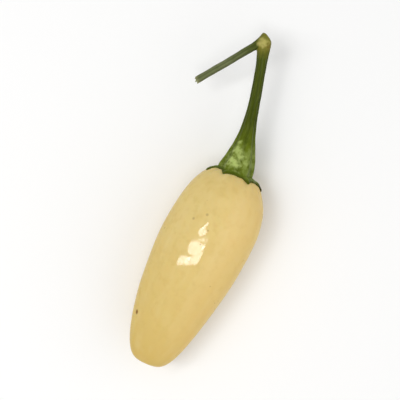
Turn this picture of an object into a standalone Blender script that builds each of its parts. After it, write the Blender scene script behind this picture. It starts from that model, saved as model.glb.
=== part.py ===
"""A white habanero pepper, picked with its stem and lying on its side.

Metres, +Z up. The origin is the middle of the small flat spot that the pod rests on, +X points out of
the crown along the stem, and -X points to the blossom tip.

Every solid starts as a ball. A point of the ball is named by its fraction, from 0 at one pole to 1 at the
other, and by its angle round the axis, from +Y over the top. One function for each piece says where that
point goes. The pieces are shaped on the pod's own axes, with the crown at 0 and +X out of it, and LYING
then lays them down.
"""

import math

import bmesh
import bpy
import numpy as np
from mathutils import Matrix, Vector, noise

# The pod's outline. A station is a distance from the crown towards the tip.
POD_LENGTH = 0.0480
POD_RADIUS = 0.00987  # at mid length
POD_TAPER = 0.2235  # share of that radius gained by the crown and lost by the tip
CROWN_POWER, TIP_POWER = 0.375, 0.274  # 0.5 rounds an end like a ball, and less makes it blunter
SWAY, SWAY_STATION, SWAY_HALF_WAVE = 0.00098, 0.0018, 0.0431  # sideways wander of the pod's middle line
CROWN_SINK, CROWN_SINK_RADIUS = 0.0016, 0.0040  # the hollow that the calyx fills
TIP_SINK, TIP_SINK_RADIUS = 0.0006, 0.0016  # the dimple where the blossom was

# The pod's relief
LOBES = 3
LOBE_DEPTH_CROWN, LOBE_DEPTH_TIP = 0.026, 0.012  # shares of the radius
TOP_LOBE = math.radians(90)  # one lobe is on top, so a broad shallow groove faces the surface
SHOULDER_DENT, SHOULDER_STATION, SHOULDER_REACH = 0.0004, 0.0030, 0.0036  # the -Y shoulder is flatter
WAVE_HEIGHT, WAVE_LENGTH = 0.00022, 0.0085  # the skin's broad dents and swellings

# How the pepper lies
CROWN = Vector((0.0209, 0.0001, 0.01073))
NOSE_DOWN = math.radians(2.8)
LYING = Matrix.Translation(CROWN) @ Matrix.Rotation(-NOSE_DOWN, 4, "Y")

FIT_GAP = 0.0003  # between two pieces that touch

# The calyx: a collar over the crown, with a tooth for each sepal
CALYX_RIM = 0.0051
CALYX_THICKNESS, CALYX_EDGE = 0.0009, 0.0006
CREASE_RADIUS, CREASE_WIDTH, CREASE_DEPTH = 0.0044, 0.0005, 0.0002
TOOTH_HALF_WIDTH = math.radians(17)
TOOTH_POINT = 1.2  # 1 gives straight sides, and more draws the tip out
# Where each tooth stands, in degrees from +Y over the top, and how far it reaches past the rim
TEETH = ((6, 0.0018), (60, 0.0010), (119, 0.0010), (180, 0.0015), (241, 0.0014), (303, 0.0012))

# The stem, from the calyx to the knuckle where it was picked: a start, two handles and an end
STEM_PATH = (
    Vector((0.0, -0.0005, 0.0)),
    Vector((0.0095, 0.0006, 0.0002)),
    Vector((0.0192, 0.0026, 0.0006)),
    Vector((0.0277, 0.0051, 0.0016)),
)
STEM_LENGTH = 0.0287
STALK_RADIUS = 0.00112
FLARE, FLARE_LENGTH, FLARE_POWER = 0.00260, 0.0066, 1.5
FOOT_OFFSET = 0.0008  # the foot stands a little to +Y of the crown's middle
FOOT_TUCK, FOOT_TUCK_LENGTH = 0.04, 0.0005  # the flare's lower edge turns in to the crease
SETTLE_LENGTH = 0.0016  # how far up the foot still follows the crown under it
RIBS = 6
RIB_DEPTH = 0.06  # share of the radius
KNUCKLE_RADIUS, KNUCKLE_LENGTH = 0.0016, 0.0028

# The bare side twig that branches off the knuckle
TWIG_PATH = (
    Vector((0.0289, 0.0050, 0.0014)),
    Vector((0.0242, 0.0083, 0.0027)),
    Vector((0.0192, 0.0120, 0.0012)),
    Vector((0.0145, 0.0157, -0.0016)),
)
TWIG_LENGTH = 0.0181
TWIG_RADIUS, TWIG_FLARE, TWIG_FLARE_LENGTH = 0.0008, 0.0009, 0.0017

# Sides and rings of each ball, and how many of a drawn-out ball's rings make its foot and its round cap
POD_MESH = (60, 44)
CALYX_MESH = (90, 14)
STEM_MESH = (30, 44)
TWIG_MESH = (14, 20)
FOOT_SHARE, CAP_SHARE = 0.10, 0.12

# Colour (linear) and roughness
CREAM = ((0.72, 0.55, 0.22, 1.0), 0.24)
LEAF_GREEN = ((0.10, 0.19, 0.025, 1.0), 0.45)
STEM_GREEN = ((0.12, 0.17, 0.035, 1.0), 0.50)


def clear_scene():
    for obj in list(bpy.data.objects):
        bpy.data.objects.remove(obj)


def material(name, color, roughness):
    made = bpy.data.materials.new(name)
    made.use_nodes = True
    shader = made.node_tree.nodes["Principled BSDF"]
    shader.inputs["Base Color"].default_value = color
    shader.inputs["Roughness"].default_value = roughness
    shader.inputs["Metallic"].default_value = 0.0
    return made


def plain_radius(station):
    """The pod's radius before lobes and waves: a barrel with a straight taper and blunt ends."""
    along = 2.0 * station / POD_LENGTH - 1.0
    power = CROWN_POWER + (TIP_POWER - CROWN_POWER) * (along + 1.0) / 2.0
    return POD_RADIUS * (1.0 - POD_TAPER * along) * np.maximum(1.0 - along * along, 0.0) ** power


def outline_tables():
    """The stations of even steps along the outline, and the crown half's stations by radius."""
    turn = np.linspace(0.0, math.pi, 4001)
    stations = POD_LENGTH * (1.0 - np.cos(turn)) / 2.0
    radii = plain_radius(stations)
    steps = np.hypot(np.diff(stations), np.diff(radii))
    walked = np.concatenate([[0.0], np.cumsum(steps)]) / steps.sum()
    widest = int(np.argmax(radii)) + 1
    return (walked, stations), (radii[:widest], stations[:widest])


BY_FRACTION, BY_RADIUS = outline_tables()


def sink(radius, depth, reach):
    """How deep a round dimple is at a radius from its middle."""
    return depth * math.exp(-((radius / reach) ** 2))


def round_axis(angle):
    return Vector((0.0, math.cos(angle), math.sin(angle)))


def pod_point(station, angle):
    """A point of the pod's skin."""
    radius = float(plain_radius(station))
    share = station / POD_LENGTH
    lobe_depth = LOBE_DEPTH_CROWN + (LOBE_DEPTH_TIP - LOBE_DEPTH_CROWN) * share
    lobed = radius * (1.0 + lobe_depth * math.cos(LOBES * (angle - TOP_LOBE)))
    if share < 0.5:
        along = -station - sink(radius, CROWN_SINK, CROWN_SINK_RADIUS)
    else:
        along = -station + sink(radius, TIP_SINK, TIP_SINK_RADIUS)
    dent = SHOULDER_DENT * math.exp(-(((station - SHOULDER_STATION) / SHOULDER_REACH) ** 2))
    lobed -= dent * min(1.0, radius / 0.004) * max(0.0, -math.cos(angle)) ** 2
    sideways = -SWAY * math.cos(math.pi * (station - SWAY_STATION) / SWAY_HALF_WAVE)
    point = Vector((along, sideways, 0.0)) + round_axis(angle) * lobed
    # The waves fade towards the poles, where all the angles meet.
    wave = WAVE_HEIGHT * noise.noise(point / WAVE_LENGTH) * radius / POD_RADIUS
    return point + round_axis(angle) * wave


def place_on_pod(fraction, angle):
    return pod_point(float(np.interp(fraction, *BY_FRACTION)), angle)


def on_crown(radius, angle, lift):
    """A point over the crown's skin, at a distance from the pod's middle line and lifted off the skin."""
    step = 0.0002
    wider = float(np.interp(radius + step, *BY_RADIUS))
    here = pod_point(float(np.interp(radius, *BY_RADIUS)), angle)
    out = pod_point(wider, angle)
    turned = pod_point(wider, angle + step / (radius + step))
    return here + (out - here).cross(turned - out).normalized() * lift


def rim_radius(angle):
    """The calyx's reach: a round rim with pointed teeth."""
    reach = CALYX_RIM
    for degrees, length in TEETH:
        off = abs(math.remainder(angle - math.radians(degrees), 2.0 * math.pi))
        reach += length * max(0.0, 1.0 - off / TOOTH_HALF_WIDTH) ** TOOTH_POINT
    return reach


def calyx_thickness(radius, angle):
    thickness = CALYX_THICKNESS + (CALYX_EDGE - CALYX_THICKNESS) * radius / rim_radius(angle)
    return thickness - CREASE_DEPTH * math.exp(-(((radius - CREASE_RADIUS) / CREASE_WIDTH) ** 2))


def place_on_calyx(fraction, angle):
    """The ball's first half is the collar's outer face, and its second half is the inner face."""
    radius = rim_radius(angle) * (1.0 - abs(1.0 - 2.0 * fraction))
    # 1 on the outer face and 0 on the inner one, with the rim's own ring halfway between
    rings = CALYX_MESH[1]
    face = min(1.0, max(0.0, rings * (0.5 - fraction) + 0.5))
    return on_crown(radius, angle, FIT_GAP + face * calyx_thickness(radius, angle))


def drawn_out(fraction):
    """Draws a ball out to a tube: how wide its foot has opened, how far along, and the turn of its cap."""
    opened = min(1.0, fraction / FOOT_SHARE)
    along = (fraction - FOOT_SHARE) / (1.0 - FOOT_SHARE - CAP_SHARE)
    turn = max(0.0, (fraction - 1.0 + CAP_SHARE) / CAP_SHARE) * math.pi / 2.0
    return opened, min(1.0, max(0.0, along)), turn


def tube_point(path, along, angle, radius, turn=0.0):
    """A point of a tube round a Bezier path; a turn from 0 to 90 degrees closes its round cap."""
    start, first_handle, second_handle, end = path
    back = 1.0 - along
    middle = start * back**3 + (first_handle * back + second_handle * along) * 3.0 * back * along
    middle += end * along**3
    forward = (first_handle - start) * back**2 + (end - second_handle) * along**2
    forward += (second_handle - first_handle) * 2.0 * back * along
    forward.normalize()
    sideways = Vector((0.0, 0.0, 1.0)).cross(forward).normalized()
    out = sideways * math.cos(angle) + forward.cross(sideways) * math.sin(angle)
    return middle + out * radius * math.cos(turn) + forward * radius * math.sin(turn)


def stem_radius(distance, angle):
    """A fluted flare that narrows to the stalk, and a knuckle at the far end."""
    flare = FLARE * math.exp(-((distance / FLARE_LENGTH) ** FLARE_POWER))
    tuck = 1.0 - FOOT_TUCK * math.exp(-distance / FOOT_TUCK_LENGTH)
    to_knuckle = (STEM_LENGTH - distance) / KNUCKLE_LENGTH
    knuckle = (KNUCKLE_RADIUS - STALK_RADIUS) * math.exp(-(to_knuckle**2))
    rib = 1.0 + RIB_DEPTH * math.cos(RIBS * angle)
    return (STALK_RADIUS + flare * tuck) * rib + knuckle


def place_on_stem(fraction, angle):
    opened, along, turn = drawn_out(fraction)
    distance = along * STEM_LENGTH
    standing = tube_point(STEM_PATH, along, angle, stem_radius(distance, angle) * opened, turn)
    # The foot's underside follows the calyx, and the flare settles on to it.
    foot = stem_radius(0.0, angle) * opened
    across, up = foot * math.cos(angle) + FOOT_OFFSET, foot * math.sin(angle)
    radius, turned = math.hypot(across, up), math.atan2(up, across)
    seat = on_crown(radius, turned, FIT_GAP + calyx_thickness(radius, turned) + FIT_GAP)
    settle = math.exp(-((distance / SETTLE_LENGTH) ** 2))
    return standing + (seat - tube_point(STEM_PATH, 0.0, angle, foot)) * settle


def place_on_twig(fraction, angle):
    opened, along, turn = drawn_out(fraction)
    flare = TWIG_FLARE * math.exp(-along * TWIG_LENGTH / TWIG_FLARE_LENGTH)
    return tube_point(TWIG_PATH, along, angle, (TWIG_RADIUS + flare) * opened, turn)


def shaped_ball(name, sides, rings, place, look):
    """An object made from a ball, with each of its points moved to place(fraction, angle)."""
    pole_on_x = Matrix.Rotation(math.radians(90), 4, "Y")
    bm = bmesh.new()
    bmesh.ops.create_uvsphere(bm, u_segments=sides, v_segments=rings, radius=1.0, matrix=pole_on_x)
    for vert in bm.verts:
        fraction = math.acos(max(-1.0, min(1.0, vert.co.x))) / math.pi
        vert.co = LYING @ place(fraction, math.atan2(vert.co.z, vert.co.y))
    bmesh.ops.recalc_face_normals(bm, faces=bm.faces)
    mesh = bpy.data.meshes.new(name)
    bm.to_mesh(mesh)
    bm.free()
    mesh.shade_smooth()
    mesh.materials.append(look)
    obj = bpy.data.objects.new(name, mesh)
    bpy.context.collection.objects.link(obj)
    return obj


def press_flat(obj):
    """Cuts off what is under the surface, and closes the cut with one flat face."""
    bm = bmesh.new()
    bm.from_mesh(obj.data)
    everything = bm.verts[:] + bm.edges[:] + bm.faces[:]
    up = (0.0, 0.0, 1.0)
    cut = bmesh.ops.bisect_plane(bm, geom=everything, dist=1e-7, plane_no=up, clear_inner=True)
    edges = [item for item in cut["geom_cut"] if isinstance(item, bmesh.types.BMEdge)]
    bmesh.ops.edgeloop_fill(bm, edges=edges)
    bmesh.ops.recalc_face_normals(bm, faces=bm.faces)
    bm.to_mesh(obj.data)
    bm.free()


def join_to(obj, branch):
    """Joins a branch to a solid, and keeps the branch as a guide that is no part of the model."""
    branch.hide_render = True
    branch.display_type = "WIRE"
    union = obj.modifiers.new("branch", "BOOLEAN")
    union.operation = "UNION"
    union.object = branch


def main():
    clear_scene()
    stem_green = material("stem_green", *STEM_GREEN)
    pod = shaped_ball("pod", *POD_MESH, place_on_pod, material("cream_skin", *CREAM))
    press_flat(pod)
    shaped_ball("calyx", *CALYX_MESH, place_on_calyx, material("calyx_green", *LEAF_GREEN))
    stem = shaped_ball("stem", *STEM_MESH, place_on_stem, stem_green)
    join_to(stem, shaped_ball("twig", *TWIG_MESH, place_on_twig, stem_green))


main()
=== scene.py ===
# %% [markdown]
# # A white habanero pepper
# The pepper lies on its side, just as it was picked: a glossy cream pod, a thin green collar called the
# calyx, and a fluted stem that ends in a knuckle with a bare side twig. The plain solids come first, and
# they are the measure for everything here. Each finer piece made below takes the place of one of them.

import math

import bmesh
import bpy
import numpy as np
from mathutils import Matrix, Vector, kdtree, noise


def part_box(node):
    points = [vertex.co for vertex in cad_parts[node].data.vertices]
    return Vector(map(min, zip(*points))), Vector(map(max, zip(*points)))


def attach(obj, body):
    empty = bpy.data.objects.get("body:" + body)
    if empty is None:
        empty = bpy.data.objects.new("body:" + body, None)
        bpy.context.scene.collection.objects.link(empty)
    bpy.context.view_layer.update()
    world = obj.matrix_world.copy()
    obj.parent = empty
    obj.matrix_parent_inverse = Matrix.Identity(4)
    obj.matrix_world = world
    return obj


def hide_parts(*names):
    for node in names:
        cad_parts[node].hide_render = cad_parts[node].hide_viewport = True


# Millimetres in a metre
MM = 1000.0

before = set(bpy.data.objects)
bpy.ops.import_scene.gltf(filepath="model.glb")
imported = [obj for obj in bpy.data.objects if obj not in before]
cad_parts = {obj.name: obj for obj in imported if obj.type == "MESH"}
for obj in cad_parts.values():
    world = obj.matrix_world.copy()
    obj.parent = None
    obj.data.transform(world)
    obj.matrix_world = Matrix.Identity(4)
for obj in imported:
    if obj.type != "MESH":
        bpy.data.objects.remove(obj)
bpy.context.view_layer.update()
for name in sorted(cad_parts):
    low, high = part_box(name)
    print(name, "is", [round(side * MM, 1) for side in high - low], "mm")

# %% [markdown]
# ## Turning a shape, then letting it grow crooked
# A pod, a collar and a stalk are all nearly round, so each one starts as an outline that is spun once round
# the X axis, like wood on a lathe. Nothing that grows stays that true. So every point is then moved by a
# rule that bends it, swells it or ribs it, and the rule knows how far along and how far round the point is.
# Spinning gives clean rings of quads with a vertex at each end, which is why it is used here.

# %% The lathe
MERGE_DISTANCE = 1e-7


def spun(outline, steps):
    """A closed bmesh from (x, radius) points that start and end on the X axis."""
    bm = bmesh.new()
    verts = [bm.verts.new((x, radius, 0.0)) for x, radius in outline]
    edges = [bm.edges.new(pair) for pair in zip(verts, verts[1:])]
    bmesh.ops.spin(
        bm,
        geom=verts + edges,
        cent=(0.0, 0.0, 0.0),
        axis=(1.0, 0.0, 0.0),
        dvec=(0.0, 0.0, 0.0),
        angle=2.0 * math.pi,
        steps=steps,
        use_merge=True,
    )
    bmesh.ops.remove_doubles(bm, verts=bm.verts, dist=MERGE_DISTANCE)
    return bm


def around(point):
    """The angle of a point round the X axis, from +Y over the top."""
    return math.atan2(point.z, point.y)


def outward(angle):
    """The direction away from the X axis at that angle."""
    return Vector((0.0, math.cos(angle), math.sin(angle)))


# %% [markdown]
# ## Telling a material how its piece grew
# Streaks on a pepper run from the crown to the tip, and fibres in a stem run along it, whatever way it
# bends. A pattern that is drawn in plain coordinates would cut straight through such a bend. So each point
# keeps its place from before the bending, in millimetres, in an attribute called "grown", and the materials
# draw their streaks on that.

# %% From a bmesh to a finished piece
def finished(name, bm, grown, values=None):
    """An object at the origin; grown holds a place in mm for each vertex, and values more numbers by name."""
    bmesh.ops.recalc_face_normals(bm, faces=bm.faces)
    mesh = bpy.data.meshes.new(name)
    bm.to_mesh(mesh)
    bm.free()
    mesh.shade_smooth()
    places = mesh.attributes.new("grown", "FLOAT_VECTOR", "POINT")
    places.data.foreach_set("vector", np.array(grown, dtype=np.float32).ravel())
    for key, numbers in (values or {}).items():
        held = mesh.attributes.new(key, "FLOAT", "POINT")
        held.data.foreach_set("value", np.array(numbers, dtype=np.float32))
    obj = bpy.data.objects.new(name, mesh)
    bpy.context.collection.objects.link(obj)
    mesh.calc_loop_triangles()
    print(name, "has", len(mesh.vertices), "vertices and", len(mesh.loop_triangles), "triangles")
    return obj


# %% [markdown]
# ## The pod's outline
# From above, the pod is a barrel with blunt ends that tapers towards the blossom tip. One short formula
# draws it: a straight taper times a curve that falls to nothing at both ends. A power of 0.5 would round an
# end like a ball, and a smaller power makes it blunter. The formula is sampled closely once, so that rings
# can be spaced evenly along the curve, and the calyx can ask where the crown has a given radius.

# %% Outline of the pod
POD_LENGTH = 0.0480
POD_RADIUS = 0.00987
POD_TAPER = 0.2235
CROWN_POWER, TIP_POWER = 0.375, 0.274
OUTLINE_SAMPLES = 4001


def plain_radius(station):
    """The pod's radius at a distance from the crown, before lobes and dents."""
    along = 2.0 * station / POD_LENGTH - 1.0
    power = CROWN_POWER + (TIP_POWER - CROWN_POWER) * (along + 1.0) / 2.0
    return POD_RADIUS * (1.0 - POD_TAPER * along) * np.maximum(1.0 - along * along, 0.0) ** power


sampled_turns = np.linspace(0.0, math.pi, OUTLINE_SAMPLES)
sampled_stations = POD_LENGTH * (1.0 - np.cos(sampled_turns)) / 2.0
sampled_radii = plain_radius(sampled_stations)
sampled_steps = np.hypot(np.diff(sampled_stations), np.diff(sampled_radii))
sampled_shares = np.concatenate([[0.0], np.cumsum(sampled_steps)]) / sampled_steps.sum()
widest = int(np.argmax(sampled_radii)) + 1
print("the pod is widest", round(sampled_stations[widest - 1] * MM, 1), "mm from its crown")


def evenly_along(share):
    """The station at a share of the way along the outline."""
    return float(np.interp(share, sampled_shares, sampled_stations))


def station_of_radius(radius):
    """The station in the crown's half where the outline has this radius."""
    return float(np.interp(radius, sampled_radii[:widest], sampled_stations[:widest]))


# %% [markdown]
# ## The pod's form and skin
# Three shallow lobes run along a habanero, one for each chamber inside. Its middle line wanders a little to
# the side, one shoulder is flatter than the other, and the crown and the tip are sunk in. The skin has broad
# swellings, and finer ripples that soften a window's reflection. Round the calyx it is drawn in to small
# folds, and the blossom left a dimple with a tiny scar at the tip. All of these are real shape here, not
# bump, because they bend the outline and the highlights.

# %% Form of the pod
LOBES, TOP_LOBE = 3, math.radians(90)
LOBE_DEPTH_CROWN, LOBE_DEPTH_TIP = 0.026, 0.012
SHOULDER_DENT, SHOULDER_STATION, SHOULDER_REACH = 0.0004, 0.0030, 0.0036
CROWN_SINK, CROWN_SINK_RADIUS = 0.0016, 0.0040
TIP_SINK, TIP_SINK_RADIUS = 0.0006, 0.0016
SWAY, SWAY_STATION, SWAY_HALF_WAVE = 0.00098, 0.0018, 0.0431
WAVE_HEIGHT, WAVE_LENGTH = 0.00022, 0.0085
CALM_RADIUS = 0.004


def bell(value, width):
    """1 at 0, falling to nothing a few widths away."""
    return math.exp(-((value / width) ** 2))


def calmed(radius):
    """1 on the sides, falling to 0 at the middle of an end, where dents and ripples would crowd."""
    return min(1.0, radius / CALM_RADIUS)


def pod_form(station, angle):
    """A point of the pod with its lobes, sway and broad swellings, as the plain solid has them."""
    radius = float(plain_radius(station))
    share = station / POD_LENGTH
    depth = LOBE_DEPTH_CROWN + (LOBE_DEPTH_TIP - LOBE_DEPTH_CROWN) * share
    lobed = radius * (1.0 + depth * math.cos(LOBES * (angle - TOP_LOBE)))
    dent = SHOULDER_DENT * bell(station - SHOULDER_STATION, SHOULDER_REACH) * calmed(radius)
    lobed -= dent * max(0.0, -math.cos(angle)) ** 2
    if share < 0.5:
        along = -station - CROWN_SINK * bell(radius, CROWN_SINK_RADIUS)
    else:
        along = -station + TIP_SINK * bell(radius, TIP_SINK_RADIUS)
    sideways = -SWAY * math.cos(math.pi * (station - SWAY_STATION) / SWAY_HALF_WAVE)
    point = Vector((along, sideways, 0.0)) + outward(angle) * lobed
    wave = WAVE_HEIGHT * noise.noise(point / WAVE_LENGTH) * radius / POD_RADIUS
    return point + outward(angle) * wave


print("the lobes stand", round(LOBE_DEPTH_CROWN * POD_RADIUS * MM, 2), "mm out at the crown's end")

# %% Relief of the skin
RIPPLE_HEIGHT, RIPPLE_LENGTH = 0.00003, 0.0034
FOLDS, FOLD_DEPTH, FOLD_START, FOLD_FADE = 17, 0.00009, 0.0062, 0.0013
PUCKERS, PUCKER_DEPTH, PUCKER_RADIUS, PUCKER_FADE = 7, 0.00006, 0.0013, 0.00078
SCAR_HEIGHT, SCAR_RADIUS = 0.0002, 0.00035
# How far folds stray from even gaps, in radians, and how quickly that changes round the axis
FOLD_STRAY, PUCKER_STRAY = (2.0, 1.5), (3.0, 1.3)


def crooked_waves(angle, count, stray):
    """That many waves round the axis, with uneven gaps between them."""
    far, quickly = stray
    return math.cos(angle * count + far * noise.noise(outward(angle) * quickly))


def pod_relief(station, angle, point):
    """How far the skin stands out from that form: ripples, folds at the calyx and puckers at the tip."""
    radius = float(plain_radius(station))
    height = RIPPLE_HEIGHT * noise.noise(point / RIPPLE_LENGTH) * calmed(radius)
    if station < POD_LENGTH / 2.0:
        fold = crooked_waves(angle, FOLDS, FOLD_STRAY)
        height += FOLD_DEPTH * fold * bell(radius - FOLD_START, FOLD_FADE)
    else:
        pucker = crooked_waves(angle, PUCKERS, PUCKER_STRAY)
        height += PUCKER_DEPTH * pucker * bell(radius - PUCKER_RADIUS, PUCKER_FADE)
        height += SCAR_HEIGHT * bell(radius, SCAR_RADIUS)
    return height


# %% Model the pod
CROWN = Vector((0.0209, 0.0001, 0.01073))
NOSE_DOWN = math.radians(2.8)
LYING = Matrix.Translation(CROWN) @ Matrix.Rotation(-NOSE_DOWN, 4, "Y")
POD_RINGS, POD_SIDES = 190, 260


def pod_outline():
    stations = [evenly_along(ring / POD_RINGS) for ring in range(POD_RINGS + 1)]
    return [(-station, float(plain_radius(station))) for station in stations]


def outside_normal(vert, station, angle):
    """The vertex's normal, turned to look out of the pod, because a spin can leave the faces looking in."""
    squarely = vert.normal.dot(outward(angle)) + vert.normal.x * (0.5 - station / POD_LENGTH)
    return vert.normal if squarely > 0.0 else -vert.normal


def make_pod():
    bm = spun(pod_outline(), POD_SIDES)
    bm.normal_update()
    grown = []
    for vert in bm.verts:
        station, angle = -vert.co.x, around(vert.co)
        grown.append(Vector((vert.co.y, vert.co.z, station)) * MM)
        point = pod_form(station, angle)
        outside = outside_normal(vert, station, angle)
        vert.co = LYING @ (point + outside * pod_relief(station, angle, point))
        # The underside is pressed flat where it rests.
        vert.co.z = max(vert.co.z, 0.0)
    return finished("pod_skin", bm, grown)


pod = make_pod()

# %% [markdown]
# ## The calyx
# The calyx is what is left of the flower's green cup. It lies over the crown like a cloth, so it is made as
# a flat disc with two faces and draped: each point is set at its distance from the middle line, over the
# pod's own skin, and lifted by the cup's thickness. Its rim is a slightly wavy circle with a narrow tooth
# for each sepal, and a vein runs out along each tooth. Habaneros have a tight crease where the stem stands
# on the cup.

# %% Rim of the calyx
CALYX_RIM = 0.0051
RIM_WAVE, RIM_WAVE_QUICKLY = 0.00015, 2.6
TOOTH_HALF_WIDTH, TOOTH_POINT = math.radians(17), 1.2
# Each tooth: its place in degrees from +Y over the top, and how far it stands out past the rim
TEETH = ((6, 0.0018), (60, 0.0010), (119, 0.0010), (180, 0.0015), (241, 0.0014), (303, 0.0012))


def nearest_tooth(angle):
    """How far off the nearest tooth's middle is, in radians, and how long that tooth is."""
    off = [(abs(math.remainder(angle - math.radians(at), 2.0 * math.pi)), length) for at, length in TEETH]
    return min(off)


def rim_radius(angle):
    off, length = nearest_tooth(angle)
    wavy = CALYX_RIM + RIM_WAVE * noise.noise(outward(angle) * RIM_WAVE_QUICKLY)
    return wavy + length * max(0.0, 1.0 - off / TOOTH_HALF_WIDTH) ** TOOTH_POINT


reaches = [rim_radius(math.radians(at)) * MM for at, _ in TEETH]
print("the teeth reach", round(min(reaches), 1), "to", round(max(reaches), 1), "mm from the middle")

# %% Drape over the crown
CALYX_LIFT, RIM_LIFT = 0.0010, 0.00016
CREASE_RADIUS, CREASE_WIDTH, CREASE_DEPTH = 0.0043, 0.00035, 0.00010
VEIN_HEIGHT, VEIN_WIDTH, VEIN_RISE = 0.00012, math.radians(4), 0.0008
LIP_HEIGHT, LIP_PLACE, LIP_WIDTH = 0.00006, 0.95, 0.06
WRINKLES, WRINKLE_HEIGHT, WRINKLE_STRAY = 30, 0.00004, (5.0, 2.0)
LUMP_HEIGHT, LUMPS_ALONG, LUMPS_ROUND = 0.00006, 900.0, 4.0
FEELER = 0.0002


def over_crown(radius, angle, lift):
    """A point over the crown's skin, lifted off it squarely; two points close by tell how the skin slopes."""
    wider = station_of_radius(radius + FEELER)
    here = pod_form(station_of_radius(radius), angle)
    out = pod_form(wider, angle)
    turned = pod_form(wider, angle + FEELER / (radius + FEELER))
    return here + (out - here).cross(turned - out).normalized() * lift


def calyx_top(radius, angle):
    """How high the cup's outer face stands over the skin."""
    off, _ = nearest_tooth(angle)
    spread = min(1.0, radius / rim_radius(angle))
    past_crease = max(0.0, min(1.0, (radius - CREASE_RADIUS) / VEIN_RISE))
    height = CALYX_LIFT + (RIM_LIFT - CALYX_LIFT) * spread
    height -= CREASE_DEPTH * bell(radius - CREASE_RADIUS, CREASE_WIDTH)
    height += VEIN_HEIGHT * bell(off, VEIN_WIDTH) * past_crease
    height += LIP_HEIGHT * bell(spread - LIP_PLACE, LIP_WIDTH)
    height += WRINKLE_HEIGHT * crooked_waves(angle, WRINKLES, WRINKLE_STRAY) * past_crease
    lump = Vector((radius * LUMPS_ALONG, math.cos(angle) * LUMPS_ROUND, math.sin(angle) * LUMPS_ROUND))
    return height + LUMP_HEIGHT * noise.noise(lump)


# %% Model the calyx
CALYX_RINGS, CALYX_SIDES = 26, 264
LIP_TURNS, LIP_START = 6, 0.97
CUP_SUNK = 0.0001


def calyx_outline():
    """The cup's section: x is 1 on the outer face and -1 on the inner one, and the lip is rounded."""
    outer = [(1.0, ring / CALYX_RINGS * LIP_START) for ring in range(CALYX_RINGS + 1)]
    turns = [math.pi * turn / LIP_TURNS for turn in range(1, LIP_TURNS)]
    lip = [(math.cos(turn), LIP_START + (1.0 - LIP_START) * math.sin(turn)) for turn in turns]
    inner = [(-1.0, spread) for _, spread in reversed(outer)]
    return outer + lip + inner


def make_calyx():
    bm = spun(calyx_outline(), CALYX_SIDES)
    grown, edge, vein = [], [], []
    for vert in bm.verts:
        angle, spread, face = around(vert.co), min(1.0, math.hypot(vert.co.y, vert.co.z)), vert.co.x
        radius = spread * rim_radius(angle)
        thickness = calyx_top(radius, angle) + CUP_SUNK
        vert.co = LYING @ over_crown(radius, angle, thickness * (face + 1.0) / 2.0 - CUP_SUNK)
        grown.append((radius * MM * math.cos(angle), radius * MM * math.sin(angle), face))
        edge.append(spread)
        vein.append(bell(nearest_tooth(angle)[0], VEIN_WIDTH))
    return finished("calyx_cup", bm, grown, {"edge": edge, "vein": vein})


calyx = make_calyx()

# %% [markdown]
# ## The stem
# The stem is a fluted cone that narrows to a thin stalk and swells to a knuckle where it broke off the
# plant. It is turned straight on the lathe and then bent along a smooth curve, and its foot is moved down
# until it stands on the calyx. The side twig is made the same way. A voxel remesh grows the two into one
# skin with a soft crotch between them, which is how a real branch leaves its stem, and a plain boolean
# would leave a hard seam there.

# %% Bending along a curve
def curve_point(path, share):
    """A point of a curve through four guide points, and the direction of the curve there."""
    start, first, second, end = path
    back = 1.0 - share
    middle = start * back**3 + (first * back + second * share) * 3.0 * back * share + end * share**3
    forward = (first - start) * back**2 + (second - first) * 2.0 * back * share + (end - second) * share**2
    return middle, forward.normalized()


def frame_along(path, length, distance):
    """The middle of the path at a distance, and its directions forward, sideways and upward there."""
    share = min(1.0, max(0.0, distance / length))
    middle, forward = curve_point(path, share)
    sideways = Vector((0.0, 0.0, 1.0)).cross(forward).normalized()
    beyond = forward * (distance - share * length)
    return middle + beyond, forward, sideways, forward.cross(sideways)


def bent(path, length, distance, across):
    """Where a straight piece's point goes: distance along the path, and across it by a (y, z) offset."""
    middle, _, sideways, upward = frame_along(path, length, distance)
    return middle + sideways * across.y + upward * across.z


# %% Outline of the stem
STEM_PATH = (
    Vector((0.0, -0.0005, 0.0)),
    Vector((0.0095, 0.0006, 0.0002)),
    Vector((0.0192, 0.0026, 0.0006)),
    Vector((0.0277, 0.0051, 0.0016)),
)
STEM_LENGTH = 0.0287
STALK_RADIUS = 0.00112
FLARE, FLARE_LENGTH, FLARE_POWER = 0.00260, 0.0066, 1.5
FOOT_TUCK, FOOT_TUCK_LENGTH = 0.04, 0.0005
KNUCKLE_RADIUS, KNUCKLE_LENGTH = 0.0016, 0.0028


def stem_radius(distance):
    rise = max(0.0, distance)
    flare = FLARE * math.exp(-((rise / FLARE_LENGTH) ** FLARE_POWER))
    tuck = 1.0 - FOOT_TUCK * math.exp(-rise / FOOT_TUCK_LENGTH)
    knuckle = (KNUCKLE_RADIUS - STALK_RADIUS) * bell(STEM_LENGTH - rise, KNUCKLE_LENGTH)
    return STALK_RADIUS + flare * tuck + knuckle


print("the stem is", round(stem_radius(0.0) * 2.0 * MM, 1), "mm wide at its foot")

# %% Outline of the twig
TWIG_PATH = (
    Vector((0.0289, 0.0050, 0.0014)),
    Vector((0.0242, 0.0083, 0.0027)),
    Vector((0.0192, 0.0120, 0.0012)),
    Vector((0.0145, 0.0157, -0.0016)),
)
TWIG_LENGTH = 0.0181
TWIG_RADIUS, TWIG_FLARE, TWIG_FLARE_LENGTH = 0.0008, 0.0009, 0.0017


def twig_radius(distance):
    return TWIG_RADIUS + TWIG_FLARE * math.exp(-distance / TWIG_FLARE_LENGTH)


print("the twig is", round(twig_radius(TWIG_LENGTH) * 2.0 * MM, 1), "mm wide at its torn end")

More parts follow.
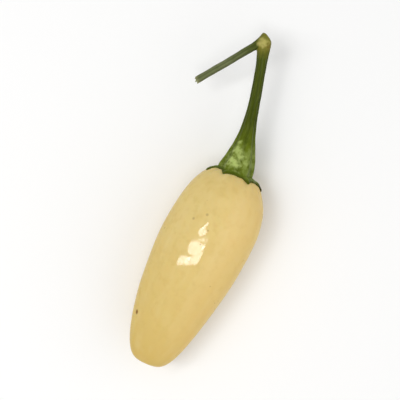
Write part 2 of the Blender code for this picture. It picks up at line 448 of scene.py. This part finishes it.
# %% Model the stem and the twig apart
ROD_STEP, ROD_SIDES = 0.00018, 72
FOOT_RINGS, CAP_RINGS = 12, 8
STEM_SUNK, STEM_CAP = 0.0006, 0.9
TWIG_DOME, TWIG_CAP = 0.0004, 0.25
FOOT_OFFSET, FOOT_SPREAD = 0.00055, 1.07
SETTLE_LENGTH, SETTLED = 0.0016, 0.0048
# The twig's places are counted from 100 mm, which tells them from the stem's.
TWIG_STARTS, ON_TWIG = 100.0, 99.0


def rod_outline(radius_at, start, length, dome, cap):
    """A rod's outline: a domed foot, a side of even steps, and an end that is that share of a ball."""
    rings = int((length - start) / ROD_STEP)
    side = [start + (length - start) * ring / rings for ring in range(rings + 1)]
    shares = [ring / FOOT_RINGS for ring in range(FOOT_RINGS)]
    foot = [(start - dome * (1.0 - share**2), radius_at(start) * share) for share in shares]
    end = radius_at(length)
    turns = [math.pi / 2.0 * turn / CAP_RINGS for turn in range(1, CAP_RINGS + 1)]
    close = [(length + cap * end * math.sin(turn), end * math.cos(turn)) for turn in turns]
    return foot + [(distance, radius_at(distance)) for distance in side] + close


def seat_shift(across):
    """What moves a point of the foot from its straight place down on to the calyx."""
    y, z = (across.y + FOOT_OFFSET) * FOOT_SPREAD, across.z * FOOT_SPREAD
    radius, angle = math.hypot(y, z), math.atan2(z, y)
    return over_crown(radius, angle, calyx_top(radius, angle)) - bent(STEM_PATH, STEM_LENGTH, 0.0, across)


def make_rod(radius_at, start, length, dome, cap, path, first_mm):
    """A bent rod and, for each of its points, its place in the straight one in mm."""
    bm = spun(rod_outline(radius_at, start, length, dome, cap), ROD_SIDES)
    grown = []
    for vert in bm.verts:
        distance, across = vert.co.x, Vector((0.0, vert.co.y, vert.co.z))
        grown.append(Vector((across.y * MM, across.z * MM, distance * MM + first_mm)))
        vert.co = bent(path, length, distance, across)
        if path is STEM_PATH and distance < SETTLED:
            vert.co += seat_shift(across) * bell(max(0.0, distance), SETTLE_LENGTH)
    bmesh.ops.recalc_face_normals(bm, faces=bm.faces)
    return bm, grown


stem_rod, stem_grown = make_rod(
    stem_radius, -STEM_SUNK, STEM_LENGTH, 0.0, STEM_CAP, STEM_PATH, 0.0
)
twig_rod, twig_grown = make_rod(
    twig_radius, 0.0, TWIG_LENGTH, TWIG_DOME, TWIG_CAP, TWIG_PATH, TWIG_STARTS
)
print("stem rod", len(stem_rod.verts), "vertices, twig rod", len(twig_rod.verts))

# %% [markdown]
# ## Growing the two rods together
# The remesh forgets which rod each point came from, so a search tree of the old points is kept. Each new
# point asks it for the nearest old one, and works out its own place along the stem and round it from there.
# Only then is the mesh smoothed, all over a little and at the knuckle a lot, so that the twig leaves it
# softly. Last, the ribs, the fine fibres and the torn end are pushed out along the skin's own direction.

# %% Fuse the rods
VOXEL = 0.00011


def fused(rods):
    """One bmesh whose skin wraps both rods."""
    mesh = bpy.data.meshes.new("rods")
    both = bmesh.new()
    for rod in rods:
        rod.to_mesh(mesh)
        both.from_mesh(mesh)
    both.to_mesh(mesh)
    both.free()
    holder = bpy.data.objects.new("rods", mesh)
    bpy.context.collection.objects.link(holder)
    remesh = holder.modifiers.new("wrap", "REMESH")
    remesh.mode = "VOXEL"
    remesh.voxel_size = VOXEL
    wrapped = holder.evaluated_get(bpy.context.evaluated_depsgraph_get())
    bm = bmesh.new()
    bm.from_mesh(wrapped.to_mesh())
    bpy.data.objects.remove(holder)
    return bm


stem_bm = fused([stem_rod, twig_rod])
print("fused stem has", len(stem_bm.verts), "vertices")

# %% Look up each point's place, then smooth
KNUCKLE_REACH = 0.0032
ROUNDS_ALL_OVER, ROUNDS_AT_KNUCKLE = 12, 40

old_points = [vert.co.copy() for rod in (stem_rod, twig_rod) for vert in rod.verts]
old_grown = stem_grown + twig_grown
stem_rod.free()
twig_rod.free()
tree = kdtree.KDTree(len(old_points))
for index, point in enumerate(old_points):
    tree.insert(point, index)
tree.balance()


def grown_place(point):
    """A point's place in its own straight rod in mm, worked out from the nearest point of the rods."""
    index = tree.find(point)[1]
    place = old_grown[index]
    path, length, first_mm = STEM_PATH, STEM_LENGTH, 0.0
    if place.z >= ON_TWIG:
        path, length, first_mm = TWIG_PATH, TWIG_LENGTH, TWIG_STARTS
    _, forward, sideways, upward = frame_along(path, length, (place.z - first_mm) / MM)
    off = (point - old_points[index]) * MM
    return place + Vector((off.dot(sideways), off.dot(upward), off.dot(forward)))


stem_places = [grown_place(vert.co) for vert in stem_bm.verts]
knuckle_middle = STEM_PATH[3]
knuckle_verts = [vert for vert in stem_bm.verts if (vert.co - knuckle_middle).length < KNUCKLE_REACH]
for verts, rounds in ((stem_bm.verts, ROUNDS_ALL_OVER), (knuckle_verts, ROUNDS_AT_KNUCKLE)):
    for _ in range(rounds):
        bmesh.ops.smooth_vert(
            stem_bm, verts=verts, factor=0.5, use_axis_x=True, use_axis_y=True, use_axis_z=True
        )
print(len(knuckle_verts), "vertices of the stem are on the knuckle")

# %% Ribs, fibres and the torn end
RIBS, RIB_DEPTH = 6, 0.07
TWIG_RIBS, TWIG_RIB_TURN = 5, 0.6
# Ribs and fibres fade by this share at the knuckle, and within this many mm of the middle of an end.
KNUCKLE_CALM, MIDDLE_CALM = 0.9, 0.6
FIBRE_HEIGHT, FIBRES_ROUND, FIBRES_ALONG = 0.000045, 6.0, 260.0
SWELL_HEIGHT, SWELLS_ROUND, SWELLS_ALONG = 0.00005, 1.2, 420.0
TORN_DEPTH, TORN_REACH, TORN_GRAIN, TORN_BACK = 0.00055, 0.00015, 2.2, 0.2


def tube_noise(angle, distance, finely_round, finely_along):
    """Noise round and along a tube, without a seam."""
    across = (math.cos(angle) * finely_round, math.sin(angle) * finely_round)
    return noise.noise(Vector((*across, distance * finely_along)))


def stem_relief(place):
    """How far the stem's skin stands out, in metres, and how much of a ridge it is, from 0 to 1."""
    angle = math.atan2(place.y, place.x)
    on_twig = place.z >= ON_TWIG
    if on_twig:
        distance = (place.z - TWIG_STARTS) / MM
        radius, from_knuckle = twig_radius(distance), distance
        rib = math.cos(TWIG_RIBS * angle + TWIG_RIB_TURN)
    else:
        distance = place.z / MM
        radius, from_knuckle = stem_radius(distance), STEM_LENGTH - distance
        rib = math.cos(RIBS * angle)
    calm = 1.0 - KNUCKLE_CALM * bell(max(0.0, from_knuckle), KNUCKLE_LENGTH)
    calm *= min(1.0, math.hypot(place.x, place.y) / MIDDLE_CALM)
    height = radius * RIB_DEPTH * rib * calm
    height += FIBRE_HEIGHT * calm * tube_noise(angle, distance, FIBRES_ROUND, FIBRES_ALONG)
    height += SWELL_HEIGHT * tube_noise(angle, distance, SWELLS_ROUND, SWELLS_ALONG)
    if on_twig and distance > TWIG_LENGTH - TORN_REACH:
        height += TORN_DEPTH * (noise.noise(place * TORN_GRAIN) - TORN_BACK)
    return height, 0.5 + 0.5 * rib * calm


def make_stem(bm, places):
    bm.normal_update()
    reliefs = [stem_relief(place) for place in places]
    for vert, (height, _) in zip(bm.verts, reliefs):
        vert.co = LYING @ (vert.co + vert.normal * height)
    return finished("stem_stalk", bm, places, {"ridge": [ridge for _, ridge in reliefs]})


stem = make_stem(stem_bm, stem_places)

# %% [markdown]
# ## Nodes for the materials
# A material is a small network. A few helpers keep it readable: one adds a node and fills or links its
# sockets in one go, one makes a colour ramp from a few stops, and one lays a colour over another through a
# mask. Colours are given as they read in an image editor, from 0 to 255, and are turned into the linear
# values that the shader wants.

# %% Helpers for nodes
def colour(red, green, blue):
    """A linear colour from 0 to 255 display values."""
    parts = [part / 255.0 for part in (red, green, blue)]
    linear = [part / 12.92 if part <= 0.04045 else ((part + 0.055) / 1.055) ** 2.4 for part in parts]
    return (*linear, 1.0)


def put(nodes, kind, sockets=None, **settings):
    """Adds a node; a socket is given a value, or another node's output to read."""
    made = nodes.nodes.new(kind)
    for key, value in settings.items():
        setattr(made, key, value)
    for key, value in (sockets or {}).items():
        if isinstance(value, bpy.types.NodeSocket):
            nodes.links.new(value, made.inputs[key])
        else:
            made.inputs[key].default_value = value
    return made


def ramp(nodes, value, stops):
    """A colour ramp through (position, colour) stops."""
    made = put(nodes, "ShaderNodeValToRGB", {"Fac": value})
    stripe = made.color_ramp
    stripe.elements[0].position, stripe.elements[0].color = stops[0]
    stripe.elements[1].position, stripe.elements[1].color = stops[-1]
    for position, shade in stops[1:-1]:
        stripe.elements.new(position).color = shade
    return made.outputs["Color"]


def maths(nodes, operation, first, second, clamp=False):
    made = put(nodes, "ShaderNodeMath", {0: first, 1: second}, operation=operation, use_clamp=clamp)
    return made.outputs[0]


# %% Helpers for colours and masks
# The Mix node keeps a socket of the same name for each kind of data, and these are its colour ones.
MIX_BELOW, MIX_ABOVE, MIX_RESULT = 6, 7, 2


def blended(nodes, share, below, above):
    """One colour over another by a share."""
    sockets = {"Factor": share, MIX_BELOW: below, MIX_ABOVE: above}
    return put(nodes, "ShaderNodeMix", sockets, data_type="RGBA").outputs[MIX_RESULT]


def tinted(nodes, shade, mask, strength, over):
    """The shade with a colour laid over it where the mask is, at that strength."""
    return blended(nodes, maths(nodes, "MULTIPLY", mask, strength), shade, over)


def between(nodes, value, low, high):
    """0 below low, 1 above high, and smooth between."""
    sockets = {"Value": value, "From Min": low, "From Max": high}
    return put(nodes, "ShaderNodeMapRange", sockets, interpolation_type="SMOOTHSTEP").outputs["Result"]


def ranged(nodes, value, low, high):
    """A value from 0 to 1, spread evenly from low to high."""
    return put(nodes, "ShaderNodeMapRange", {"Value": value, "To Min": low, "To Max": high}).outputs["Result"]


# %% [markdown]
# ## Effects that several materials share
# Mottling, lengthwise streaks and specks all turn up on the pod and on the green parts, only at other
# sizes. Each effect is a node group with named sockets, built once. A group gives out a mask from 0 to 1,
# and each material decides what the mask does.

# %% Node groups
def new_group(name, inputs):
    """An empty group that takes a vector and some numbers, and gives out a mask."""
    group = bpy.data.node_groups.new(name, "ShaderNodeTree")
    group.interface.new_socket("Vector", in_out="INPUT", socket_type="NodeSocketVector")
    for label, value in inputs:
        socket = group.interface.new_socket(label, in_out="INPUT", socket_type="NodeSocketFloat")
        socket.default_value = value
    group.interface.new_socket("Mask", in_out="OUTPUT", socket_type="NodeSocketFloat")
    return group, put(group, "NodeGroupInput").outputs, put(group, "NodeGroupOutput").inputs["Mask"]


def mottle_group():
    """Soft cloudy patches."""
    group, given, mask = new_group("mottle", [("Size", 1.0), ("Low", 0.4), ("High", 0.7)])
    scale = maths(group, "DIVIDE", 1.0, given["Size"])
    sockets = {"Vector": given["Vector"], "Scale": scale, "Detail": 3.0, "Roughness": 0.55}
    clouds = put(group, "ShaderNodeTexNoise", sockets).outputs["Fac"]
    group.links.new(between(group, clouds, given["Low"], given["High"]), mask)
    return group


def streak_group():
    """Streaks that run the way the piece grew; Stretch is how many times longer than wide they are."""
    inputs = [("Width", 1.0), ("Stretch", 8.0), ("Low", 0.4), ("High", 0.7)]
    group, given, mask = new_group("streaks", inputs)
    wide = maths(group, "DIVIDE", 1.0, given["Width"])
    long = maths(group, "DIVIDE", wide, given["Stretch"])
    scales = put(group, "ShaderNodeCombineXYZ", {"X": wide, "Y": wide, "Z": long}).outputs["Vector"]
    drawn = put(group, "ShaderNodeVectorMath", {0: given["Vector"], 1: scales}, operation="MULTIPLY")
    sockets = {"Vector": drawn.outputs["Vector"], "Scale": 1.0, "Detail": 2.0, "Roughness": 0.5}
    lines = put(group, "ShaderNodeTexNoise", sockets).outputs["Fac"]
    group.links.new(between(group, lines, given["Low"], given["High"]), mask)
    return group


def speck_group():
    """Round specks in random cells; Share is how many of the cells hold one."""
    group, given, mask = new_group("specks", [("Spacing", 1.0), ("Radius", 0.2), ("Share", 0.3)])
    scale = maths(group, "DIVIDE", 1.0, given["Spacing"])
    cells = put(group, "ShaderNodeTexVoronoi", {"Vector": given["Vector"], "Scale": scale}).outputs
    away = maths(group, "DIVIDE", cells["Distance"], given["Radius"])
    soft = between(group, maths(group, "SUBTRACT", 1.0, away, True), 0.0, 0.6)
    lot = put(group, "ShaderNodeSeparateColor", {"Color": cells["Color"]}).outputs["Red"]
    chosen = maths(group, "LESS_THAN", lot, given["Share"])
    group.links.new(maths(group, "MULTIPLY", soft, chosen), mask)
    return group


mottle, streaks, specks = mottle_group(), streak_group(), speck_group()
print("node groups:", [group.name for group in bpy.data.node_groups])


def use(nodes, group, vector, **sockets):
    """The mask of a shared effect with this material's own values."""
    made = put(nodes, "ShaderNodeGroup", node_tree=group)
    nodes.links.new(vector, made.inputs["Vector"])
    for key, value in sockets.items():
        made.inputs[key.capitalize()].default_value = value
    return made.outputs["Mask"]


# %% [markdown]
# ## Single marks, and a start for each material
# Some marks have one place, such as a scar or a bruise. Such a mark is a mask around a point of the piece,
# and where its edge should be ragged, the distance is measured from places that clouds have moved about.
# Seen from above, a mark's height isn't known, so a ray is sent down to find the skin under it.

# %% Marks at a place
RAY_START = 0.1


def from_above(piece, x, y):
    """The place in mm where a piece's skin is seen from above at x and y."""
    hit, place, _, _ = piece.ray_cast((x / MM, y / MM, RAY_START), (0.0, 0.0, -1.0))
    assert hit, "nothing is seen there"
    return place * MM


def near(nodes, in_mm, place, inner, outer):
    """1 within inner mm of a place on the piece and 0 beyond outer mm."""
    gap = put(nodes, "ShaderNodeVectorMath", {0: in_mm, 1: place}, operation="DISTANCE").outputs["Value"]
    return between(nodes, gap, outer, inner)


def frayed(nodes, in_mm, size, reach):
    """A place in mm that is moved about by clouds of that size, so that round marks get ragged edges."""
    clouds = put(nodes, "ShaderNodeTexNoise", {"Vector": in_mm, "Scale": 1.0 / size, "Detail": 2.0})
    sockets = {0: clouds.outputs["Color"], 1: (0.5, 0.5, 0.5)}
    centred = put(nodes, "ShaderNodeVectorMath", sockets, operation="SUBTRACT").outputs["Vector"]
    sockets = {0: centred, 1: (reach, reach, reach), 2: in_mm}
    return put(nodes, "ShaderNodeVectorMath", sockets, operation="MULTIPLY_ADD").outputs["Vector"]


# %% A start for each material
MILLIMETRES = (MM, MM, MM)


def new_material(name, **constants):
    """A material, its shader, and the vectors it draws on: object space in mm, and the grown place in mm."""
    made = bpy.data.materials.new(name)
    made.use_nodes = True
    nodes = made.node_tree
    shader = nodes.nodes["Principled BSDF"]
    for key, value in constants.items():
        shader.inputs[key.replace("_", " ").title().replace("Ior", "IOR")].default_value = value
    space = put(nodes, "ShaderNodeTexCoord").outputs["Object"]
    in_mm = put(nodes, "ShaderNodeMapping", {"Vector": space, "Scale": MILLIMETRES}).outputs["Vector"]
    grown = put(nodes, "ShaderNodeAttribute", attribute_name="grown").outputs["Vector"]
    return made, nodes, shader, in_mm, grown


# %% [markdown]
# ## Pepper skin
# White habanero skin is cream, a little yellower towards the tip, and slightly see-through: light enters
# the wax and the flesh under it and comes out warm. So the shader has a little subsurface scattering, and a
# base colour with a slow gradient, cloudy mottles, faint lengthwise streaks and a few brown spots. The wax
# is a clear coat that shines where the skin is seen squarely and is dull towards the outline.

# %% Colours and spots of the skin
IVORY, CREAM = colour(232, 214, 154), colour(225, 200, 130)
BUTTER, STRAW = colour(217, 188, 112), colour(209, 179, 101)
WARMER_SIDE_TONE = colour(236, 200, 126)
SPECK_BROWN, SCAR_BROWN = colour(170, 124, 52), colour(120, 78, 34)
# Larger spots: x and y in mm as seen from above, how wide each is, and how dark
SKIN_SPOTS = (
    (-17.0, 7.5, 0.75, 0.9),
    (8.9, 1.8, 0.45, 0.35),
    (7.0, 4.2, 0.45, 0.35),
    (5.8, 0.3, 0.30, 0.40),
    (2.4, 0.6, 0.28, 0.40),
    (2.5, 9.2, 0.35, 0.40),
)
TIP_SCAR_WIDTH, TIP_SCAR_DARK = 0.6, 0.8
SPOT_CORE = 0.3


def tip_scar():
    """The place of the blossom scar in mm."""
    return min((vert.co for vert in pod.data.vertices), key=lambda place: place.x) * MM


spots = [(from_above(pod, x, y), wide, dark) for x, y, wide, dark in SKIN_SPOTS]
spots.append((tip_scar(), TIP_SCAR_WIDTH, TIP_SCAR_DARK))
print("the skin has", len(spots), "spots with a place of their own")

# %% Skin material
COAT_WEIGHT, COAT_FULL, COAT_GONE = 0.9, 0.1, 0.5


def skin_material():
    made, nodes, shader, in_mm, grown = new_material(
        "pepper_skin",
        specular_ior_level=0.03,
        subsurface_weight=0.25,
        subsurface_radius=(1.0, 0.62, 0.22),
        subsurface_scale=0.0016,
        coat_roughness=0.06,
        ior=1.45,
    )
    station = put(nodes, "ShaderNodeSeparateXYZ", {"Vector": grown}).outputs["Z"]
    share = maths(nodes, "DIVIDE", station, POD_LENGTH * MM, True)
    shade = ramp(nodes, share, [(0.0, CREAM), (0.3, CREAM), (0.8, BUTTER), (1.0, STRAW)])
    clouds = use(nodes, mottle, in_mm, size=7.0, low=0.42, high=0.70)
    shade = tinted(nodes, shade, clouds, 0.45, BUTTER)
    lines = use(nodes, streaks, grown, width=1.8, stretch=7.0, low=0.45, high=0.80)
    shade = tinted(nodes, shade, lines, 0.18, IVORY)
    flecks = use(nodes, mottle, in_mm, size=1.7, low=0.45, high=0.75)
    shade = tinted(nodes, shade, flecks, 0.38, STRAW)
    # The side towards -Y is painted a little lighter and rosier.
    side = put(nodes, "ShaderNodeSeparateXYZ", {"Vector": in_mm}).outputs["Y"]
    shade = tinted(nodes, shade, between(nodes, side, 1.0, -8.0), 0.5, WARMER_SIDE_TONE)
    dots = use(nodes, specks, in_mm, spacing=2.8, radius=0.08, share=0.30)
    shade = tinted(nodes, shade, dots, 0.45, SPECK_BROWN)
    for place, wide, dark in spots:
        shade = tinted(nodes, shade, near(nodes, in_mm, place, wide * SPOT_CORE, wide), dark, SCAR_BROWN)
    nodes.links.new(shade, shader.inputs["Base Color"])
    wax = use(nodes, mottle, in_mm, size=2.4, low=0.3, high=0.8)
    nodes.links.new(ranged(nodes, wax, 0.27, 0.34), shader.inputs["Roughness"])
    turned = put(nodes, "ShaderNodeLayerWeight", {"Blend": 0.5}).outputs["Facing"]
    sockets = {"Value": turned, "From Min": COAT_FULL, "From Max": COAT_GONE, "To Min": COAT_WEIGHT}
    coat = put(nodes, "ShaderNodeMapRange", {**sockets, "To Max": 0.0}).outputs["Result"]
    nodes.links.new(coat, shader.inputs["Coat Weight"])
    return made


# %% [markdown]
# ## Green of the stem
# The cone is a fresh green with pale patches painted on as highlights, the stalk is darker, and towards
# the knuckle it turns olive, with a golden scar on the knuckle itself. The twig is older and greyer, with
# a dry end where it broke. One ramp along the stem and one along the twig carry these tones, grooves
# between the ribs are painted darker as shade, and fibres run lengthwise. The coarser ones are real shape
# by now. The finest are too shallow for that, so they are bump.

# %% Colours and patches of the stem
CONE_GREEN, LIGHT_GREEN = colour(96, 110, 24), colour(184, 200, 118)
STALK_GREEN, DEEP_GREEN = colour(68, 78, 12), colour(40, 50, 8)
OLIVE, TWIG_GREEN, TWIG_GREY = colour(122, 118, 46), colour(70, 78, 26), colour(105, 111, 75)
TORN_PALE = colour(152, 152, 112)
KNUCKLE_GOLD, KNUCKLE_BROWN = colour(188, 178, 104), colour(112, 88, 34)
KNUCKLE_SCAR, KNUCKLE_BRUISE = (48.3, 5.6, 15.0), (48.0, 4.0, 14.8)
STEM_TONES = ((0.0, CONE_GREEN), (0.18, CONE_GREEN), (0.36, STALK_GREEN), (0.86, STALK_GREEN), (0.97, OLIVE))
TWIG_TONES = ((0.0, OLIVE), (0.16, TWIG_GREEN), (0.55, TWIG_GREY), (0.95, TWIG_GREY), (1.0, TORN_PALE))
# Pale patches painted on the cone as highlights: x and y in mm as seen from above, how wide, and how pale
CONE_PAINTED_HIGHLIGHTS = (
    (26.2, 1.6, 0.9, 0.55),
    (24.4, 1.5, 1.5, 0.70),
    (23.4, 0.1, 1.4, 0.75),
    (21.9, 1.7, 1.4, 0.85),
    (21.6, 0.3, 1.4, 0.85),
    (22.4, -1.4, 1.0, 0.40),
)
PATCH_CORE = 0.2
# What the green parts have in common
GREEN_FLESH = {
    "specular_ior_level": 0.05,
    "subsurface_weight": 0.08,
    "subsurface_radius": (0.5, 1.0, 0.25),
    "subsurface_scale": 0.0006,
    "ior": 1.45,
}
FIBRE_BUMP = 0.00006

painted_highlights_seen = [(from_above(stem, x, y), wide, pale) for x, y, wide, pale in CONE_PAINTED_HIGHLIGHTS]
print("the cone has", len(painted_highlights_seen), "pale patches with a place of their own")

# %% Stem material
def fibre_bump(nodes, shader, fibres, strength):
    """Fine fibres that only catch the light."""
    bump = put(nodes, "ShaderNodeBump", {"Height": fibres, "Strength": strength, "Distance": FIBRE_BUMP})
    nodes.links.new(bump.outputs["Normal"], shader.inputs["Normal"])


def stem_material():
    made, nodes, shader, in_mm, grown = new_material("stem_green", **GREEN_FLESH)
    distance = put(nodes, "ShaderNodeSeparateXYZ", {"Vector": grown}).outputs["Z"]
    on_stem = maths(nodes, "DIVIDE", distance, STEM_LENGTH * MM, True)
    past = maths(nodes, "SUBTRACT", distance, TWIG_STARTS)
    on_twig = maths(nodes, "DIVIDE", past, TWIG_LENGTH * MM, True)
    is_twig = maths(nodes, "GREATER_THAN", distance, ON_TWIG)
    shade = blended(nodes, is_twig, ramp(nodes, on_stem, STEM_TONES), ramp(nodes, on_twig, TWIG_TONES))
    ridge = put(nodes, "ShaderNodeAttribute", attribute_name="ridge").outputs["Fac"]
    # Grooves between the ribs are painted darker, as shade.
    shade = tinted(nodes, shade, between(nodes, ridge, 0.55, 0.0), 0.3, DEEP_GREEN)
    fibres = use(nodes, streaks, grown, width=0.35, stretch=12.0, low=0.45, high=0.75)
    shade = tinted(nodes, shade, fibres, 0.06, LIGHT_GREEN)
    clouds = use(nodes, mottle, in_mm, size=1.6, low=0.45, high=0.75)
    shade = tinted(nodes, shade, clouds, 0.30, DEEP_GREEN)
    # The cone is also painted a little paler, unevenly, as highlights, besides its larger painted highlights.
    pale = use(nodes, mottle, in_mm, size=1.1, low=0.40, high=0.62)
    pale = maths(nodes, "MULTIPLY", pale, between(nodes, on_stem, 0.24, 0.12))
    shade = tinted(nodes, shade, pale, 0.25, LIGHT_GREEN)
    ragged = frayed(nodes, in_mm, 0.9, 2.4)
    # The larger pale patches on the cone are painted highlights.
    for place, wide, strength in painted_highlights_seen:
        shade = tinted(nodes, shade, near(nodes, ragged, place, PATCH_CORE, wide), strength, LIGHT_GREEN)
    gold = near(nodes, ragged, KNUCKLE_SCAR, PATCH_CORE, 1.8)
    shade = tinted(nodes, shade, gold, 0.8, KNUCKLE_GOLD)
    bruise = near(nodes, ragged, KNUCKLE_BRUISE, PATCH_CORE, 0.9)
    shade = tinted(nodes, shade, bruise, 0.6, KNUCKLE_BROWN)
    nodes.links.new(shade, shader.inputs["Base Color"])
    nodes.links.new(ranged(nodes, clouds, 0.34, 0.55), shader.inputs["Roughness"])
    fibre_bump(nodes, shader, fibres, 0.5)
    return made


# %% [markdown]
# ## Green of the calyx
# The cup is a fresh green with darker clouds and a dark rim, which is partly its own colour and partly
# painted shade, and its veins are paler, but fade before the tips of the teeth. One tooth, on the side away
# from the twig, has a dark brown tip painted on as shade.

# %% Calyx material
CUP_GREEN, CUP_DARK, CUP_RIM_AND_SHADE = colour(112, 130, 36), colour(72, 88, 14), colour(78, 86, 16)
CUP_VEIN, CUP_PAINTED_SHADE = colour(150, 164, 78), colour(54, 52, 26)
# The rim's dark olive is partly the cup's own colour and partly painted shade.
CUP_TONES = ((0.0, CUP_GREEN), (0.82, CUP_GREEN), (0.96, CUP_RIM_AND_SHADE), (1.0, CUP_RIM_AND_SHADE))
# The tooth whose tip gets painted shade.
SHADED_TOOTH = math.radians(180)
TOOTH_SHADE_CORE, TOOTH_SHADE_REACH = 1.0, 2.8

shaded_tooth_tip = LYING @ over_crown(rim_radius(SHADED_TOOTH), SHADED_TOOTH, 0.0) * MM
print("the dry tooth's tip is at", [round(part, 1) for part in shaded_tooth_tip], "mm")


def calyx_material():
    made, nodes, shader, in_mm, _ = new_material("calyx_green", **GREEN_FLESH)
    edge = put(nodes, "ShaderNodeAttribute", attribute_name="edge").outputs["Fac"]
    shade = ramp(nodes, edge, CUP_TONES)
    clouds = use(nodes, mottle, in_mm, size=1.0, low=0.4, high=0.7)
    shade = tinted(nodes, shade, clouds, 0.4, CUP_DARK)
    vein = put(nodes, "ShaderNodeAttribute", attribute_name="vein").outputs["Fac"]
    vein = maths(nodes, "MULTIPLY", vein, between(nodes, edge, 0.90, 0.70))
    shade = tinted(nodes, shade, vein, 0.45, CUP_VEIN)
    # Painted shade: a dark brown tip on the tooth away from the twig.
    shade = tinted(nodes, shade, near(nodes, in_mm, shaded_tooth_tip, TOOTH_SHADE_CORE, TOOTH_SHADE_REACH), 0.85, CUP_PAINTED_SHADE)
    nodes.links.new(shade, shader.inputs["Base Color"])
    nodes.links.new(ranged(nodes, clouds, 0.38, 0.58), shader.inputs["Roughness"])
    fibres = use(nodes, streaks, in_mm, width=0.4, stretch=3.0, low=0.4, high=0.7)
    fibre_bump(nodes, shader, fibres, 0.4)
    return made


# %% [markdown]
# ## Putting the pieces in place
# Each piece gets its material and rides on the one body, because a pepper has no moving parts. It takes the
# place of the plain solid that it was made over.

# %% Finish and place each piece
for piece, look, node, slot in (
    (pod, skin_material(), "pod", "pod_skin"),
    (calyx, calyx_material(), "calyx", "calyx_green"),
    (stem, stem_material(), "stem", "stem_green"),
):
    piece.data.materials.append(look)
    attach(piece, "root")
    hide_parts(node)
    print(piece.name, "takes the place of", node)

# %% [markdown]
# ## Table
# The photograph has a plain white ground, so the pepper lies on one wide white square. It isn't a piece of
# the pepper.

# %% White table
FLOOR_WHITE = colour(249, 249, 249)
FLOOR_HALF_WIDTH = 2.0


def make_floor():
    bm = bmesh.new()
    bmesh.ops.create_grid(bm, x_segments=1, y_segments=1, size=FLOOR_HALF_WIDTH)
    mesh = bpy.data.meshes.new("floor")
    bm.to_mesh(mesh)
    bm.free()
    obj = bpy.data.objects.new("floor", mesh)
    bpy.context.collection.objects.link(obj)
    made = bpy.data.materials.new("floor_white")
    made.use_nodes = True
    shader = made.node_tree.nodes["Principled BSDF"]
    shader.inputs["Base Color"].default_value = FLOOR_WHITE
    shader.inputs["Roughness"].default_value = 0.7
    mesh.materials.append(made)


make_floor()
print("the table is", FLOOR_HALF_WIDTH * 2.0, "m wide")

# %% [markdown]
# ## Light
# Light comes from all around, as in a white room, and one wide, weak light fills in the shaded side. The
# pod mirrors a window nearly overhead as one bright, broken patch. A long barrel mirrors little along its
# back and much across it, so most of the panes are far wider than they are long. Each pane is one area
# light, and its place was worked out from the part of the patch that it makes.

# %% Sky, panes and fill
SKY_COLOUR, SKY = (1.0, 1.0, 0.99, 1.0), 0.49
POD_MIDDLE = Vector((0.0, 0.0, 0.01))
PANE_RADIANCE, PANE_DISTANCE = 9.7, 0.6
# Each pane: degrees from straight up towards the crown and towards +Y, its size across and along the pod,
# how far it is turned in its own plane in degrees, and its shape
PANES = (
    (3.6, 20.6, (0.061, 0.078), -75.5, "ELLIPSE"),
    (-1.5, 18.6, (0.240, 0.051), -14.0, "ELLIPSE"),
    (-9.1, 13.7, (0.455, 0.059), -2.4, "ELLIPSE"),
    (-8.7, -4.7, (0.086, 0.020), -4.9, "ELLIPSE"),
    (-14.0, 4.9, (0.347, 0.041), 4.1, "RECTANGLE"),
    (-15.4, 29.9, (0.325, 0.036), 6.9, "ELLIPSE"),
)
FILL_RADIANCE, FILL_DISTANCE, FILL_SIZE = 0.45, 0.7, (0.7, 1.4)
FILL_FROM_X, FILL_FROM_Y = 4.0, -52.0


def towards(from_x, from_y, distance):
    """A place seen from the pod at two angles from straight up, in degrees towards +X and +Y."""
    direction = Vector((math.tan(math.radians(from_x)), math.tan(math.radians(from_y)), 1.0)).normalized()
    return direction * distance


def area_light(name, place, size, radiance, turn=0.0, shape="RECTANGLE"):
    """A light that faces the pod, its first side along +Y, with the same brightness whatever its size."""
    lamp = bpy.data.lights.new(name, "AREA")
    lamp.shape = shape
    lamp.size, lamp.size_y = size
    area = size[0] * size[1] * (math.pi / 4.0 if shape == "ELLIPSE" else 1.0)
    lamp.energy = radiance * math.pi * area
    obj = bpy.data.objects.new(name, lamp)
    bpy.context.collection.objects.link(obj)
    back = (place - POD_MIDDLE).normalized()
    across = (Vector((0.0, 1.0, 0.0)) - back * back.y).normalized()
    facing = Matrix((across, back.cross(across), back)).transposed().to_4x4()
    obj.matrix_world = Matrix.Translation(place) @ facing @ Matrix.Rotation(math.radians(turn), 4, "Z")


world = bpy.data.worlds.new("soft_sky")
bpy.context.scene.world = world
world.use_nodes = True
sky = world.node_tree.nodes["Background"]
sky.inputs["Color"].default_value = SKY_COLOUR
sky.inputs["Strength"].default_value = SKY
for index, (from_x, from_y, size, turn, shape) in enumerate(PANES):
    place = towards(from_x, from_y, PANE_DISTANCE)
    area_light(f"window_pane_{index}", place, size, PANE_RADIANCE, turn, shape)
area_light("side_fill", towards(FILL_FROM_X, FILL_FROM_Y, FILL_DISTANCE), FILL_SIZE, FILL_RADIANCE)
print("the light has", len(PANES), "panes, a sky and a weak fill")

# %% [markdown]
# ## Camera
# The photograph looks straight down, with the stem towards the top right. A long lens far above gives the
# same flat view. The camera is turned, and the pepper stays as it lies.

# %% Camera
LEAN = 23.4
SHOWN_WIDTH = 0.089
SHOWN_MIDDLE = (0.0112, 0.0045)
LENS, SENSOR = 135.0, 36.0
camera_data = bpy.data.cameras.new("camera")
camera_data.lens, camera_data.sensor_width = LENS, SENSOR
camera = bpy.data.objects.new("camera", camera_data)
bpy.context.collection.objects.link(camera)
camera.location = (*SHOWN_MIDDLE, SHOWN_WIDTH * LENS / SENSOR + POD_MIDDLE.z)
camera.rotation_euler = (0.0, 0.0, math.radians(LEAN - 90.0))
bpy.context.scene.camera = camera
bpy.context.scene.view_settings.view_transform = "Standard"
print("camera is", round(camera.location.z, 3), "m up")
